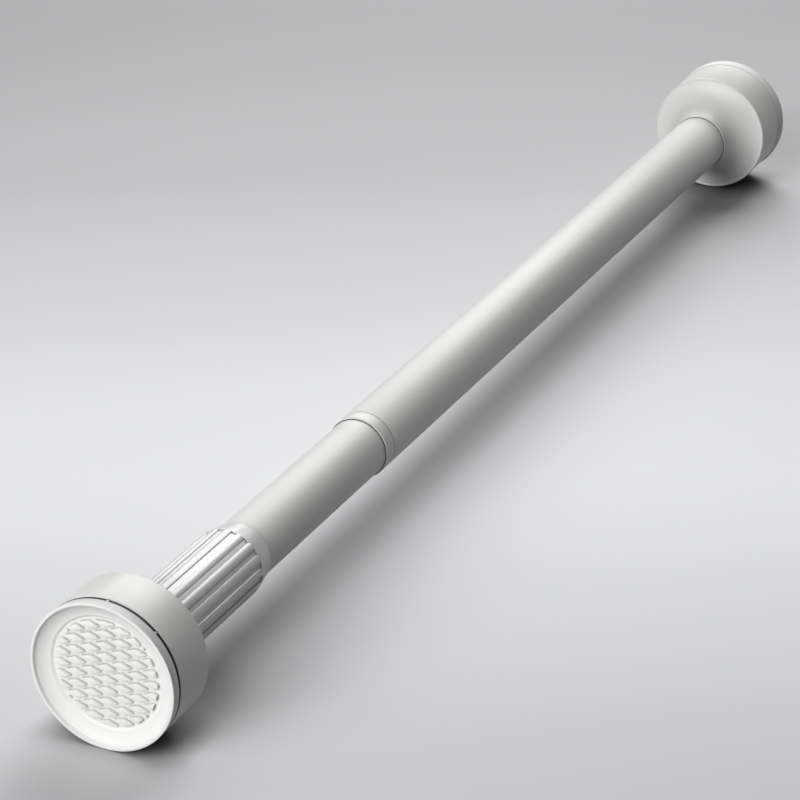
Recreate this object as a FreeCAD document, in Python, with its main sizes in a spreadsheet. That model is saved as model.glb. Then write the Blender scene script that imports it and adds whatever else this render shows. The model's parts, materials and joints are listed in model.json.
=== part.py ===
import FreeCAD, Part
import math
import os
import Sketcher

# Spring tension rod, a telescoping curtain rod that clamps between two walls.
# Millimetres. The rod lies along X: its fixed end pad touches one wall at x = 0,
# and its adjustable end pad touches the other wall at x = overallLength.
# The pieces of the adjustable end are drawn from their own wall inwards and then turned round.

# Driving dimensions: alias, value, what it is

drivingSizes = [
    ("overallLength", 595.0, "wall to wall as stored"),
    ("runningGap", 0.08, "radial clearance of a shaft that turns or slides in its bore"),
    ("seatGap", 0.05, "clearance of a piece pressed or seated in another"),
    ("freeGap", 0.4, "clearance between moving pieces that only pass each other"),
    ("stopGap", 0.3, "clearance left between faces at the end of a travel"),
    ("flangeStep", 0.1, "how far a plug's flange lies under its tube's outside"),

    ("outerTubeDiameter", 25.0, "outer tube, outside"),
    ("tubeWall", 0.6, "wall of both tubes"),
    ("tubeSlideGap", 0.1, "radial clearance between the tubes"),
    ("innerTubeShown", 93.7, "inner tube between the collar and the knob as stored"),
    ("innerTubeOverlap", 183.0, "inner tube inside the outer tube as stored"),
    ("collarLength", 6.5, "visible length of the collar"),
    ("collarSpigot", 4.0, "depth of the collar's thin spigot in the tube"),
    ("collarSpigotWall", 0.3, "wall of that spigot"),
    ("collarSeam", 0.2, "seam between the tube's end and the collar"),
    ("collarChamfer", 0.4, "front chamfer of the collar"),

    ("padRadius", 27.65, "grip pad, largest radius"),
    ("padLipWidth", 0.75, "flat of the lip that touches the wall"),
    ("padLipRound", 0.3, "rounding of the lip's outer edge"),
    ("padRingDepth", 4.2, "depth of the moving pad's outer ring"),
    ("fixedRingDepth", 4.9, "depth of the fixed pad's outer ring"),
    ("padRingTaper", 0.35, "how much the ring narrows to its back"),
    ("padRingWall", 1.4, "wall of the ring at its back"),
    ("dishCornerRadius", 26.2, "radius where the dish starts under the lip"),
    ("dishCornerDepth", 1.1, "depth of that corner"),
    ("dishCurve", 9.0, "radius of the dish's hollow section"),
    ("dishFootRadius", 21.6, "radius where the dish meets the step"),
    ("dishFootDepth", 3.3, "depth of that foot"),
    ("treadFloorRadius", 20.7, "radius of the flat tread floor"),
    ("treadFloorDepth", 4.0, "depth of the flat tread floor"),
    ("padSkin", 1.4, "thickness of the pad behind its floor"),
    ("padShelfSkin", 2.1, "thickness of the pad behind the dish's corner"),
    ("padShelfSlope", 2.0, "how far the pad's back slopes inwards from there"),
    ("treadHeight", 1.2, "height of the tread blocks"),
    ("treadTrimRadius", 19.7, "circle that trims the tread blocks"),
    ("treadPitchAcross", 5.93, "spacing of the tread's columns"),
    ("treadPitchUp", 4.31, "spacing of the blocks in a column"),
    ("treadBlockWidth", 8.0, "long diagonal of a block"),
    ("treadBlockHeight", 2.9, "short diagonal of a block"),
    ("treadDraft", 0.2, "how much a block narrows on each side to its top"),
    ("treadCorner", 0.35, "rounding of a block's corners"),

    ("plateThickness", 2.0, "plate behind the moving pad"),
    ("plateRadius", 24.0, "radius of both pad plates"),
    ("plateBossRadius", 6.6, "boss that the spring bears on"),
    ("plateBossHeight", 1.4, "height of that boss over the plate"),
    ("cushionWall", 1.3, "rubber cushion, wall along the cover's bore"),
    ("cushionBack", 1.2, "rubber cushion, disc on the hub"),
    ("cushionLipRadius", 27.0, "rubber cushion, lip over the cover's front edge"),
    ("cushionLipThickness", 0.6, "thickness of that lip"),
    ("hookWidth", 5.0, "width of a snap hook"),
    ("hookThickness", 1.5, "thickness of a snap hook's leg"),
    ("hookInnerRadius", 18.6, "inside of a hook's leg"),
    ("hookCatch", 1.0, "how far a hook reaches outwards"),
    ("hookHeadLength", 1.2, "thickness of a hook's head"),
    ("hookCount", 4, "number of snap hooks"),
    ("hookAngle", 20.0, "place of the first snap hook round the rod"),
    ("tabWidth", 0.8, "width of a guide tab on the ring's back"),
    ("tabRadius", 26.95, "outside of a guide tab"),
    ("tabThickness", 0.8, "thickness of a guide tab"),
    ("tabLength", 1.9, "length of a guide tab"),
    ("tabSideGap", 0.15, "clearance beside a guide tab"),
    ("tabFirstAngle", 46.0, "place of the first guide tab round the rod"),
    ("tabSecondAngle", 88.0, "place of the second guide tab; both have one opposite"),

    ("pressTravel", 0.45, "travel of the pad until it meets the cushion's lip"),
    ("coverRadius", 27.4, "adjustable cover, outside"),
    ("coverWall", 1.5, "adjustable cover, wall"),
    ("coverDepth", 24.5, "back of the adjustable cover, from the wall"),
    ("coverBackWall", 1.6, "back wall of the adjustable cover"),
    ("coverShoulder", 0.7, "ledge that the hub seats on"),
    ("coverFrontRound", 1.0, "rounding of the cover's front edge"),
    ("coverBackRound", 0.7, "rounding of the cover's back edge"),

    ("hubThickness", 2.5, "hub disc in the adjustable cover"),
    ("springCupRadius", 7.0, "inside of the hub's spring cup"),
    ("springCupWall", 1.6, "wall of the spring cup"),
    ("springCupFloor", 3.0, "floor of the spring cup"),
    ("springCupDepth", 28.2, "floor of the spring cup, from the wall"),
    ("hubFillet", 0.6, "fillet between the hub's disc and its cup"),

    ("plungerRadius", 3.0, "stem inside the spring"),
    ("plungerHeadRadius", 4.1, "rounded head at the stem's end"),
    ("plungerHeadLength", 4.0, "length of that head"),
    ("plungerHeadSlope", 0.4, "length of the slope behind that head"),
    ("plungerHeadRound", 2.2, "depth of that head's rounded end"),
    ("plungerLength", 15.0, "stem and head behind the plate's boss"),
    ("plungerSpigot", 3.0, "stem inside the boss"),
    ("springWire", 1.3, "wire of the coil spring"),
    ("springRadius", 5.6, "mean radius of the coil spring"),
    ("springTurns", 7, "turns of the coil spring"),

    ("knobRadius", 13.9, "crowns of the knob's ribs"),
    ("ribCount", 16, "ribs round the knob"),
    ("ribCurve", 3.0, "radius of a rib's rounded back"),
    ("ribEdgeHeight", 0.3, "side of a rib over the groove's floor"),
    ("grooveFloorRadius", 13.15, "floor of the grooves"),
    ("grooveWidth", 1.75, "floor width of a groove"),
    ("knobRibsEnd", 87.9, "where the ribs end, from the wall"),
    ("knobConeEnd", 96.8, "where the cone ends on the inner tube, from the wall"),
    ("knobConeStartRadius", 13.75, "cone at the ribs"),
    ("knobConeEndRadius", 12.15, "cone at its lip on the tube"),
    ("knobBoreRadius", 12.1, "open bore at the knob's hidden end"),
    ("knobWebThickness", 4.0, "thickness of the knob's inner web"),

    ("neckRadius", 7.5, "neck of the bush that the knob turns on"),
    ("neckRoom", 0.5, "room between the brass nut and the neck"),
    ("neckTip", 2.4, "neck outside the knob's web, with its clip"),
    ("bushFlange", 2.0, "flange of the bush"),
    ("bushLength", 15.0, "bush inside the inner tube"),
    ("washerThickness", 0.9, "thrust washer"),
    ("washerRoom", 0.3, "play of that washer between the web and the bush"),
    ("clipThickness", 0.9, "retaining clips"),
    ("clipGroove", 0.8, "depth of a retaining clip's groove"),
    ("neckClipRadius", 9.6, "retaining clip on the bush's neck, outside"),
    ("neckClipMouth", 5.0, "opening of that clip"),
    ("nutThickness", 4.5, "brass nut in the knob"),
    ("nutRoom", 1.2, "room between the spring cup and that nut"),

    ("jackRadius", 4.0, "jack screw"),
    ("jackTail", 3.8, "jack screw behind its stop clip"),
    ("jackTravel", 10.0, "travel of the jack"),
    ("jackFlat", 3.4, "half the width across the jack's flats"),
    ("jackClipRadius", 5.9, "stop clip on the jack's tail, outside"),
    ("jackClipMouth", 3.0, "opening of that clip"),

    ("fixedPlateThickness", 3.0, "plate behind the fixed pad"),
    ("fixedCoverRadius", 27.05, "fixed cover, outside"),
    ("fixedCoverWall", 1.6, "fixed cover, wall"),
    ("fixedCoverRim", 26.9, "where the fixed cover's flare starts"),
    ("flareEnd", 41.5, "where the flare ends on the outer tube"),
    ("flareCurve", 14.3, "radius of the flare's hollow section"),
    ("flareNeck", 7.0, "length of the flare's bore on the tube"),
    ("flareShelf", 3.2, "straight step inside the flare's rim"),
    ("flareLip", 0.45, "lip of the flare round the tube"),
    ("flareGap", 0.18, "clearance of the flare round the tube"),
    ("rimRound", 0.7, "rounding of the flare's rim"),
    ("plugFlange", 1.6, "flange of the plug in the outer tube"),
    ("plugLength", 24.0, "plug inside the outer tube"),
    ("screwRadius", 2.0, "screw of the fixed end, thread"),
    ("screwHeadRadius", 4.2, "screw of the fixed end, head"),
    ("screwHeadDepth", 2.1, "countersink of that head"),
    ("screwHeadSink", 0.2, "how far the head lies under the plate's face"),
    ("screwTipRoom", 1.0, "hole past the screw's tip"),
    ("screwLength", 20.0, "screw of the fixed end"),
    ("screwSlotWidth", 1.0, "slot in the screw's head"),

    ("sleeveLength", 24.0, "lock sleeve"),
    ("sleeveEndWall", 4.0, "end wall of the lock sleeve"),
    ("sleeveMouthRadius", 9.8, "cone of the lock sleeve at its mouth"),
    ("sleeveThroatRadius", 6.6, "cone of the lock sleeve at its end wall"),
    ("sleeveSlit", 1.5, "slits in the lock sleeve"),
    ("sleeveSlitLength", 17.0, "length of those slits"),
    ("sleeveSlitCount", 6, "slits in the lock sleeve"),
    ("coreFlange", 4.0, "flange of the lock core"),
    ("coreFlangeRadius", 11.6, "radius of that flange"),
    ("coreLength", 18.0, "lock core inside the inner tube"),
    ("studRadius", 3.0, "threaded stud of the twist lock"),
    ("studDepth", 13.0, "stud inside the lock core"),
    ("studOverhang", 1.0, "stud outside its end nut"),
    ("wedgeGap", 0.25, "radial gap between the wedge and the sleeve"),
    ("wedgeOverhang", 5.0, "wedge outside the sleeve's mouth"),
    ("wedgeInset", 4.0, "wedge short of the sleeve's end wall"),
    ("endNutRadius", 5.2, "end nut on the stud, over its corners"),
    ("endNutSides", 6, "sides of the end nut"),
    ("endNutThickness", 2.6, "thickness of the end nut"),
]


class Size:
    # A length that knows its value now and the formula that gives it

    def __init__(self, value, formula):
        self.value = value
        self.formula = formula

    def combined(self, other, sign, value):
        return Size(value, f"({self.formula} {sign} {formulaOf(other)})")

    def __add__(self, other):
        return self.combined(other, "+", self.value + valueOf(other))

    def __sub__(self, other):
        return self.combined(other, "-", self.value - valueOf(other))

    def __mul__(self, other):
        return self.combined(other, "*", self.value * valueOf(other))

    def __truediv__(self, other):
        return self.combined(other, "/", self.value / valueOf(other))

    def __neg__(self):
        return Size(-self.value, f"(-1 * {self.formula})")


def valueOf(length):
    return length.value if isinstance(length, Size) else length


def formulaOf(length):
    return length.formula if isinstance(length, Size) else str(length)


def cosineOf(degrees):
    return Size(math.cos(math.radians(degrees.value)), f"cos({degrees.formula} * 1 deg)")


def sineOf(degrees):
    return Size(math.sin(math.radians(degrees.value)), f"sin({degrees.formula} * 1 deg)")


def rootOf(number):
    return Size(math.sqrt(number.value), f"sqrt({number.formula})")


doc = FreeCAD.newDocument("SpringTensionRod")
sheet = doc.addObject("Spreadsheet::Sheet", "Sizes")
for row, (alias, value, note) in enumerate(drivingSizes, start=1):
    sheet.set(f"A{row}", note)
    sheet.set(f"B{row}", str(value))
    sheet.setAlias(f"B{row}", alias)
doc.recompute()
size = {alias: Size(float(sheet.get(alias)), f"Sizes.{alias}") for alias, value, note in drivingSizes}

subParts = []


# Sketches

def originPart(body, role):
    for feature in body.Origin.OriginFeatures:
        if feature.Role == role:
            return feature
    raise ValueError(role)


def newSketch(body, name, role="XY_Plane", offset=None, turn=None):
    # Sketch on an origin plane, moved along its normal and turned round it where asked
    sketch = body.newObject("Sketcher::SketchObject", name)
    sketch.AttachmentSupport = [(originPart(body, role), "")]
    sketch.MapMode = "FlatFace"
    spin = FreeCAD.Rotation(FreeCAD.Vector(0, 0, 1), valueOf(turn) if turn else 0)
    sketch.AttachmentOffset = FreeCAD.Placement(FreeCAD.Vector(0, 0, valueOf(offset or 0)), spin)
    if offset:
        sketch.setExpression("AttachmentOffset.Base.z", formulaOf(offset))
    if turn:
        sketch.setExpression("AttachmentOffset.Rotation.Angle", formulaOf(turn))
    return sketch


def constrain(sketch, kind, references, length):
    index = sketch.addConstraint(Sketcher.Constraint(kind, *references, abs(length.value)))
    formula = length.formula if length.value >= 0 else f"(-1 * {length.formula})"
    sketch.setExpression(f"Constraints[{index}]", formula)


def placePoint(sketch, edge, point, place):
    # Ties a sketch point to its two coordinates; a zero coordinate ties it to the axis
    for coordinate, kind, axis in zip(place, ("DistanceX", "DistanceY"), (-2, -1)):
        if valueOf(coordinate) == 0:
            sketch.addConstraint(Sketcher.Constraint("PointOnObject", edge, point, axis))
        elif valueOf(coordinate) > 0:
            constrain(sketch, kind, (-1, 1, edge, point), coordinate)
        else:
            constrain(sketch, kind, (edge, point, -1, 1), coordinate)


def arcBetween(start, end, radius, side):
    # Short arc between two points, its centre on the left (1) or right (-1) of the way
    middle = (start + end) * 0.5
    along = end - start
    reach = math.sqrt(max(radius ** 2 - along.Length ** 2 / 4, 0.0))
    left = FreeCAD.Vector(-along.y, along.x, 0).normalize()
    centre = middle + left * (reach * side)
    first, last = (start, end) if side > 0 else (end, start)
    firstAngle = math.atan2(first.y - centre.y, first.x - centre.x)
    lastAngle = math.atan2(last.y - centre.y, last.x - centre.x)
    if lastAngle < firstAngle:
        lastAngle += 2 * math.pi
    circle = Part.Circle(centre, FreeCAD.Vector(0, 0, 1), radius)
    return Part.ArcOfCircle(circle, firstAngle, lastAngle)


def drawOutline(sketch, corners, arcs=None):
    # Closed outline through the corners; arcs gives (radius, side) for the edge after a corner
    arcs = arcs or {}
    points = [FreeCAD.Vector(valueOf(first), valueOf(second), 0) for first, second in corners]
    edgeEnds = []
    for number, start in enumerate(points):
        end = points[(number + 1) % len(points)]
        if number in arcs:
            radius, side = arcs[number]
            edge = sketch.addGeometry(arcBetween(start, end, radius.value, side), False)
            edgeEnds.append(((edge, 1), (edge, 2)) if side > 0 else ((edge, 2), (edge, 1)))
        else:
            edge = sketch.addGeometry(Part.LineSegment(start, end), False)
            edgeEnds.append(((edge, 1), (edge, 2)))
    for number, (start, end) in enumerate(edgeEnds):
        following = edgeEnds[(number + 1) % len(edgeEnds)][0]
        sketch.addConstraint(Sketcher.Constraint("Coincident", *end, *following))
    for corner, (start, end) in zip(corners, edgeEnds):
        placePoint(sketch, *start, corner)
    for number, (radius, side) in arcs.items():
        constrain(sketch, "Radius", (edgeEnds[number][0][0],), radius)


# Features

overrun = 1.0   # how far a cutting shape runs past the solid that it cuts
touching = 1e-4
noVolume = 1e-6


def newBody(label):
    body = doc.addObject("PartDesign::Body", label)
    body.Label = label
    return body


def turnedBody(label, corners, arcs=None):
    # Body of revolution round X from an outline of (place along X, radius)
    body = newBody(label)
    sketch = newSketch(body, f"{label}_profile")
    drawOutline(sketch, corners, arcs)
    turning = body.newObject("PartDesign::Revolution", f"{label}_turning")
    turning.Profile = sketch
    turning.ReferenceAxis = (sketch, ["H_Axis"])
    turning.Angle = 360
    body.Tip = turning
    doc.recompute()
    return body


def feature(body, kind, name, corners, length, offset=None, turn=None, arcs=None):
    # Pad or Pocket of an outline across the rod, from its offset along X onwards
    before = body.Tip.Shape.Volume
    sketch = newSketch(body, f"{name}_outline", "YZ_Plane", offset, turn)
    drawOutline(sketch, corners, arcs)
    shape = body.newObject(f"PartDesign::{kind}", name)
    shape.Profile = sketch
    shape.Reversed = kind == "Pocket"
    shape.setExpression("Length", formulaOf(length))
    body.Tip = shape
    doc.recompute()
    if abs(shape.Shape.Volume - before) < noVolume:
        raise ValueError(f"{name} changes nothing")
    return shape


def repeated(body, name, original, count):
    # Copies of a feature, evenly spaced round X
    pattern = body.newObject("PartDesign::PolarPattern", name)
    pattern.Originals = [original]
    pattern.Axis = (originPart(body, "X_Axis"), [""])
    pattern.Angle = 360
    pattern.setExpression("Occurrences", formulaOf(count))
    body.Tip = pattern
    doc.recompute()


def rounded(body, name, radius, places, kind="Fillet"):
    # Fillet or chamfer of the round edges that pass through the given (x, radius) places
    names = []
    for number, edge in enumerate(body.Tip.Shape.Edges, start=1):
        for along, outward in places:
            point = FreeCAD.Vector(valueOf(along), valueOf(outward), 0)
            isRound = edge.Curve.TypeId == "Part::GeomCircle"
            if isRound and edge.distToShape(Part.Vertex(point))[0] < touching:
                names.append(f"Edge{number}")
    if not names:
        raise ValueError(f"{name} finds no edge")
    previous = body.Tip
    fillet = body.newObject(f"PartDesign::{kind}", name)
    fillet.Base = (previous, names)
    fillet.setExpression("Radius" if kind == "Fillet" else "Size", formulaOf(radius))
    body.Tip = fillet
    doc.recompute()


def keep(piece, atAdjustableEnd=False):
    # Registers a finished sub-part; those of the adjustable end are turned to face their wall
    if atAdjustableEnd:
        facing = FreeCAD.Rotation(FreeCAD.Vector(0, 0, 1), 180)
        piece.Placement = FreeCAD.Placement(FreeCAD.Vector(overall.value, 0, 0), facing)
        piece.setExpression("Placement.Base.x", overall.formula)
    subParts.append(piece)


# Places that several pieces share

overall = size["overallLength"]
runningGap = size["runningGap"]
seatGap = size["seatGap"]
freeGap = size["freeGap"]
stopGap = size["stopGap"]
axisLine = 0
wallFace = 0
halfTurn = Size(180.0, "180")

outerTubeRadius = size["outerTubeDiameter"] / 2
outerTubeBore = outerTubeRadius - size["tubeWall"]
innerTubeRadius = outerTubeBore - size["tubeSlideGap"]
innerTubeBore = innerTubeRadius - size["tubeWall"]

padBack = size["padRingDepth"]
padRingBackRadius = size["padRadius"] - size["padRingTaper"]
padRingInside = padRingBackRadius - size["padRingWall"]
padUnderside = size["treadFloorDepth"] + size["padSkin"]
padShelf = size["dishCornerDepth"] + size["padShelfSkin"]

cushionFront = padBack + size["pressTravel"]
coverFront = cushionFront + size["cushionLipThickness"]
coverBore = size["coverRadius"] - size["coverWall"]
coverLedgeRadius = coverBore - size["coverShoulder"]
cushionRadius = coverBore - seatGap
plateBack = padUnderside + size["plateThickness"]
bossEnd = plateBack + size["plateBossHeight"]
cushionFace = plateBack + size["pressTravel"] + stopGap
hubFront = cushionFace + size["cushionBack"] + seatGap
hubBack = hubFront + size["hubThickness"]
knobStart = hubBack + size["pressTravel"] / 2 + stopGap
cupBack = size["springCupDepth"] + size["springCupFloor"]

nutFace = cupBack + size["nutRoom"]
nutBack = nutFace + size["nutThickness"]
neckEnd = nutBack + size["neckRoom"]
webStart = neckEnd + size["neckTip"]
webBack = webStart + size["knobWebThickness"]
bushFace = webBack + size["washerThickness"] + size["washerRoom"]
tubeEnd = bushFace + size["bushFlange"]
jackBore = size["jackRadius"] + runningGap

collarEnd = overall - size["knobConeEnd"] - size["innerTubeShown"]
outerTubeEnd = collarEnd - size["collarLength"]
innerTubeStart = outerTubeEnd - size["innerTubeOverlap"]


# Tread: rows of raised lozenges, trimmed by a circle

smallestBlock = 0.8   # cubic millimetres; a sliver left by the trimming circle is dropped
treadRoot = 0.3   # how far a block reaches into the floor that carries it


def lozenge(across, up, depth, inset):
    # Outline of one block at a depth, as a wire with rounded corners
    corner = size["treadCorner"].value
    halfAcross = size["treadBlockWidth"].value / 2 - inset * 2
    halfUp = size["treadBlockHeight"].value / 2 - inset
    tips = [(halfAcross, 0), (0, halfUp), (-halfAcross, 0), (0, -halfUp)]
    rounds = []
    for number, tip in enumerate(tips):
        before = tips[number - 1]
        after = tips[(number + 1) % len(tips)]
        here = FreeCAD.Vector(depth, across + tip[0], up + tip[1])
        back = FreeCAD.Vector(0, before[0] - tip[0], before[1] - tip[1]).normalize()
        forth = FreeCAD.Vector(0, after[0] - tip[0], after[1] - tip[1]).normalize()
        half = back.getAngle(forth) / 2
        setback = corner / math.tan(half)
        inwards = (back + forth).normalize() * (corner / math.sin(half) - corner)
        rounds.append((here + back * setback, here + inwards, here + forth * setback))
    edges = []
    for number, (first, middle, last) in enumerate(rounds):
        edges.append(Part.Arc(first, middle, last).toShape())
        edges.append(Part.LineSegment(last, rounds[(number + 1) % len(rounds)][0]).toShape())
    return Part.Wire(edges)


def treadBlocks():
    # All the blocks of one pad, standing on its floor; every other column is half a pitch higher
    pitchAcross = size["treadPitchAcross"].value
    pitchUp = size["treadPitchUp"].value
    trim = size["treadTrimRadius"].value
    foot = size["treadFloorDepth"].value
    top = foot - size["treadHeight"].value
    reach = trim + size["treadBlockWidth"].value / 2
    columns = int(reach / pitchAcross)
    rows = int(reach / pitchUp) + 1
    circle = Part.makeCylinder(trim, foot + treadRoot, FreeCAD.Vector(), FreeCAD.Vector(1, 0, 0))
    blocks = []
    for column in range(-columns, columns + 1):
        across = column * pitchAcross
        for row in range(-rows, rows + 1):
            up = (row + (0.5 if column % 2 == 0 else 0.0)) * pitchUp
            if math.hypot(across, up) > reach:
                continue
            root = lozenge(across, up, foot + treadRoot, 0.0)
            crest = lozenge(across, up, top, size["treadDraft"].value)
            block = Part.makeLoft([root, crest], True, True).common(circle)
            if block.Volume > smallestBlock:
                blocks.append(block.Solids[0])
    return blocks


# Grip pads

def gripPad(label, ringDepth, withTabs):
    # White pad: rounded lip, hollow dish, a small step and a flat floor that carries the tread
    lipOuter = size["padRadius"] - size["padLipRound"]
    outline = [
        (size["treadFloorDepth"], axisLine),
        (size["treadFloorDepth"], size["treadFloorRadius"]),
        (size["dishFootDepth"], size["dishFootRadius"]),
        (size["dishCornerDepth"], size["dishCornerRadius"]),
        (wallFace, lipOuter - size["padLipWidth"]),
        (wallFace, lipOuter),
        (size["padLipRound"], size["padRadius"]),
        (ringDepth, padRingBackRadius),
        (ringDepth, padRingInside),
        (padShelf, padRingInside),
        (padShelf, size["plateRadius"]),
        (padUnderside, size["plateRadius"] - size["padShelfSlope"]),
        (padUnderside, axisLine),
    ]
    arcs = {2: (size["dishCurve"], 1), 5: (size["padLipRound"], -1)}
    base = turnedBody(f"{label}_base", outline, arcs)
    if withTabs:
        for angle in ("tabFirstAngle", "tabSecondAngle"):
            tab = feature(base, "Pad", f"{label}_{angle}", tabSection(),
                          size["tabLength"] + seatGap, offset=ringDepth - seatGap,
                          turn=halfTurn - size[angle])
            repeated(base, f"{label}_{angle}_pair", tab, 2)
    tread = doc.addObject("Part::Feature", f"{label}_tread")
    tread.Shape = Part.makeCompound(treadBlocks())
    pad = doc.addObject("Part::MultiFuse", label)
    pad.Label = label
    pad.Shapes = [base, tread]
    doc.recompute()
    return pad


def tabSection():
    half = size["tabWidth"] / 2
    inside = size["tabRadius"] - size["tabThickness"]
    return [(inside, -half), (size["tabRadius"], -half), (size["tabRadius"], half), (inside, half)]


def tabNotches(body, label, start, length, inside, outside):
    # Notches that the guide tabs slide in
    half = size["tabWidth"] / 2 + size["tabSideGap"]
    for angle in ("tabFirstAngle", "tabSecondAngle"):
        notch = feature(body, "Pocket", f"{label}_{angle}",
                        [(inside, -half), (outside, -half), (outside, half), (inside, half)],
                        length, offset=start, turn=halfTurn - size[angle])
        repeated(body, f"{label}_{angle}_pair", notch, 2)


keep(gripPad("fixed_grip_pad", size["fixedRingDepth"], False))
keep(gripPad("grip_pad", padBack, True), atAdjustableEnd=True)


# Fixed end: plate, cover, plug, screw

fixedPlateBack = padUnderside + size["fixedPlateThickness"]
fixedBore = size["fixedCoverRadius"] - size["fixedCoverWall"]
screwHead = padUnderside + size["screwHeadSink"]
screwCone = screwHead + size["screwHeadDepth"]
tubeStart = fixedPlateBack + size["plugFlange"]
screwTip = screwHead + size["screwLength"]

keep(turnedBody("fixed_pad_plate", [
    (padUnderside, size["screwHeadRadius"] + seatGap),
    (padUnderside, fixedBore - seatGap),
    (fixedPlateBack, fixedBore - seatGap),
    (fixedPlateBack, size["screwRadius"] + seatGap),
    (screwCone, size["screwRadius"] + seatGap),
    (screwHead, size["screwHeadRadius"] + seatGap),
]))

flareBore = outerTubeRadius + size["flareGap"]
flareInside = size["fixedCoverRim"] - size["fixedCoverWall"]
flareLedgeRadius = fixedBore - size["coverShoulder"]
fixedCover = turnedBody("fixed_cover", [
    (size["fixedRingDepth"] + seatGap, fixedBore),
    (size["fixedRingDepth"] + seatGap, size["fixedCoverRadius"]),
    (size["fixedCoverRim"], size["fixedCoverRadius"]),
    (size["flareEnd"], flareBore + size["flareLip"]),
    (size["flareEnd"], flareBore),
    (size["flareEnd"] - size["flareNeck"], flareBore),
    (flareInside, flareLedgeRadius - size["flareShelf"]),
    (flareInside, flareLedgeRadius),
    (fixedPlateBack + seatGap, flareLedgeRadius),
    (fixedPlateBack + seatGap, fixedBore),
], {2: (size["flareCurve"], 1), 5: (size["flareCurve"], -1)})
rimCorner = (size["fixedCoverRim"], size["fixedCoverRadius"])
rounded(fixedCover, "fixed_cover_rim", size["rimRound"], [rimCorner])
keep(fixedCover)

keep(turnedBody("fixed_plug", [
    (fixedPlateBack, size["screwRadius"] + seatGap),
    (fixedPlateBack, outerTubeRadius - size["flangeStep"]),
    (tubeStart, outerTubeRadius - size["flangeStep"]),
    (tubeStart, outerTubeBore - seatGap),
    (tubeStart + size["plugLength"], outerTubeBore - seatGap),
    (tubeStart + size["plugLength"], axisLine),
    (screwTip + size["screwTipRoom"], axisLine),
    (screwTip + size["screwTipRoom"], size["screwRadius"] + seatGap),
]))

screw = turnedBody("fixed_screw", [
    (screwHead, axisLine),
    (screwHead, size["screwHeadRadius"]),
    (screwCone, size["screwRadius"]),
    (screwTip - size["screwRadius"], size["screwRadius"]),
    (screwTip, axisLine),
])
slotHalf = size["screwSlotWidth"] / 2
slotReach = size["screwHeadRadius"] + overrun
feature(screw, "Pocket", "fixed_screw_slot",
        [(-slotReach, -slotHalf), (slotReach, -slotHalf), (slotReach, slotHalf), (-slotReach, slotHalf)],
        size["screwSlotWidth"], offset=screwHead)
keep(screw)


# Tubes and collar

collarBore = innerTubeRadius + runningGap
spigotRadius = collarBore + size["collarSpigotWall"]
spigotStart = outerTubeEnd - size["collarSpigot"]

keep(turnedBody("outer_tube", [
    (tubeStart, outerTubeBore),
    (tubeStart, outerTubeRadius),
    (outerTubeEnd, outerTubeRadius),
    (outerTubeEnd, spigotRadius + seatGap),
    (spigotStart - seatGap, spigotRadius + seatGap),
    (spigotStart - seatGap, outerTubeBore),
]))

collar = turnedBody("tube_collar", [
    (spigotStart, collarBore),
    (spigotStart, spigotRadius),
    (outerTubeEnd + size["collarSeam"], spigotRadius),
    (outerTubeEnd + size["collarSeam"], outerTubeRadius),
    (collarEnd, outerTubeRadius),
    (collarEnd, collarBore),
])
rounded(collar, "tube_collar_chamfer", size["collarChamfer"],
        [(collarEnd, outerTubeRadius)], "Chamfer")
keep(collar)

keep(turnedBody("inner_tube", [
    (innerTubeStart, innerTubeBore),
    (innerTubeStart, innerTubeRadius),
    (overall - tubeEnd, innerTubeRadius),
    (overall - tubeEnd, innerTubeBore),
]))


# Twist lock inside the outer tube: core, stud, split sleeve, wedge, end nut

coreFace = innerTubeStart - size["coreFlange"]
sleeveEnd = coreFace - stopGap
sleeveStart = sleeveEnd - size["sleeveLength"]
sleeveThroat = sleeveEnd - size["sleeveEndWall"]
wedgeStart = sleeveStart - size["wedgeOverhang"]
wedgeEnd = sleeveThroat - size["wedgeInset"]
sleeveTaper = size["sleeveMouthRadius"] - size["sleeveThroatRadius"]
sleeveSlope = sleeveTaper / (sleeveThroat - sleeveStart)
wedgeMouthRadius = size["sleeveMouthRadius"] - size["wedgeGap"]
wedgeTipRadius = wedgeMouthRadius - (wedgeEnd - sleeveStart) * sleeveSlope
endNutStart = wedgeStart - stopGap - size["endNutThickness"]
studBore = size["studRadius"] + runningGap

keep(turnedBody("lock_core", [
    (coreFace, size["studRadius"] + seatGap),
    (coreFace, size["coreFlangeRadius"]),
    (innerTubeStart, size["coreFlangeRadius"]),
    (innerTubeStart, innerTubeBore - seatGap),
    (innerTubeStart + size["coreLength"], innerTubeBore - seatGap),
    (innerTubeStart + size["coreLength"], axisLine),
    (coreFace + size["studDepth"] + seatGap, axisLine),
    (coreFace + size["studDepth"] + seatGap, size["studRadius"] + seatGap),
]))

keep(turnedBody("lock_stud", [
    (endNutStart - size["studOverhang"], axisLine),
    (endNutStart - size["studOverhang"], size["studRadius"]),
    (coreFace + size["studDepth"], size["studRadius"]),
    (coreFace + size["studDepth"], axisLine),
]))

sleeve = turnedBody("lock_sleeve", [
    (sleeveStart, size["sleeveMouthRadius"]),
    (sleeveStart, outerTubeBore - runningGap),
    (sleeveEnd, outerTubeBore - runningGap),
    (sleeveEnd, studBore),
    (sleeveThroat, studBore),
    (sleeveThroat, size["sleeveThroatRadius"]),
])
slitHalf = size["sleeveSlit"] / 2
slit = feature(sleeve, "Pocket", "lock_sleeve_slit",
               [(studBore, -slitHalf), (outerTubeRadius, -slitHalf),
                (outerTubeRadius, slitHalf), (studBore, slitHalf)],
               size["sleeveSlitLength"] + overrun, offset=sleeveStart - overrun)
repeated(sleeve, "lock_sleeve_slits", slit, size["sleeveSlitCount"])
keep(sleeve)

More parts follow.
